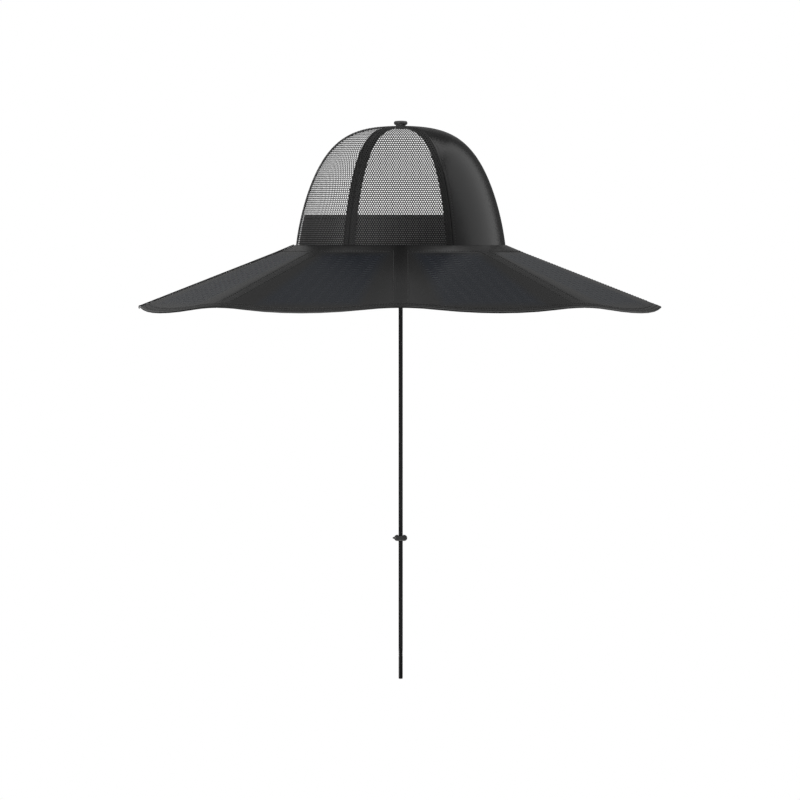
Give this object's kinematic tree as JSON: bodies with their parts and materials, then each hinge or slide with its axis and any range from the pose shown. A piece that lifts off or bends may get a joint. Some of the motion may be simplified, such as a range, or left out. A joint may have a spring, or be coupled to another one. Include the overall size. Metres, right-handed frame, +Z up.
{
  "type": "solar panel hat",
  "caption": "Wide-brimmed sun hat with laminated solar panels on an eight-sided folding brim, an open net crown and a chin strap with a cord lock.",
  "frame": {"origin": "on the crown's axis, in the plane of the crown's base, at the middle of the head opening", "axes": "+Z up along the crown's axis, +X to the front, where the closed cloth panel is, +Y to the wearer's left"},
  "size_m": [0.4709, 0.4692, 0.5024],
  "materials": {
    "crown_cloth": "black close-woven cloth with a slight satin sheen",
    "crown_net": "black open hexagonal net",
    "seam_tape": "black woven tape",
    "sweatband": "grey matt terry-backed band",
    "button_cloth": "cloth-covered button",
    "brim_cloth": "dark grey close-woven cloth",
    "solar_laminate": "satin embossed laminate over blue-grey solar cells",
    "binding": "black folded tape",
    "strap_webbing": "black flat woven strap",
    "lock_plastic": "dark grey moulded plastic with a slight sheen",
    "end_plastic": "black glossy moulded plastic"
  },
  "bodies": {
    "hat": {"front_panel": "crown_cloth", "mesh_panel_left": "crown_net", "mesh_panel_back_left": "crown_net", "mesh_panel_back_right": "crown_net", "mesh_panel_right": "crown_net", "seam_tape_left_front": "seam_tape", "seam_tape_left_back": "seam_tape", "seam_tape_back": "seam_tape", "seam_tape_right_back": "seam_tape", "seam_tape_right_front": "seam_tape", "sweatband": "sweatband", "top_button": "button_cloth", "brim": "brim_cloth", "solar_panel_1": "solar_laminate", "solar_panel_2": "solar_laminate", "solar_panel_3": "solar_laminate", "solar_panel_4": "solar_laminate", "solar_panel_5": "solar_laminate", "solar_panel_6": "solar_laminate", "solar_panel_7": "solar_laminate", "solar_panel_8": "solar_laminate", "back_seam_binding": "binding", "strap_left": "strap_webbing", "strap_right": "strap_webbing", "cord_lock": "lock_plastic", "strap_end": "end_plastic"},
    "lock_button": {"lock_button": "lock_plastic"}
  },
  "joints": [
    {"name": "button_press", "type": "slide", "parent": "hat", "child": "lock_button", "axis": [1, 0, 0], "range_m": [0, 0.0012], "stiffness_N_per_m": 150, "springref_m": -0.003}
  ]
}
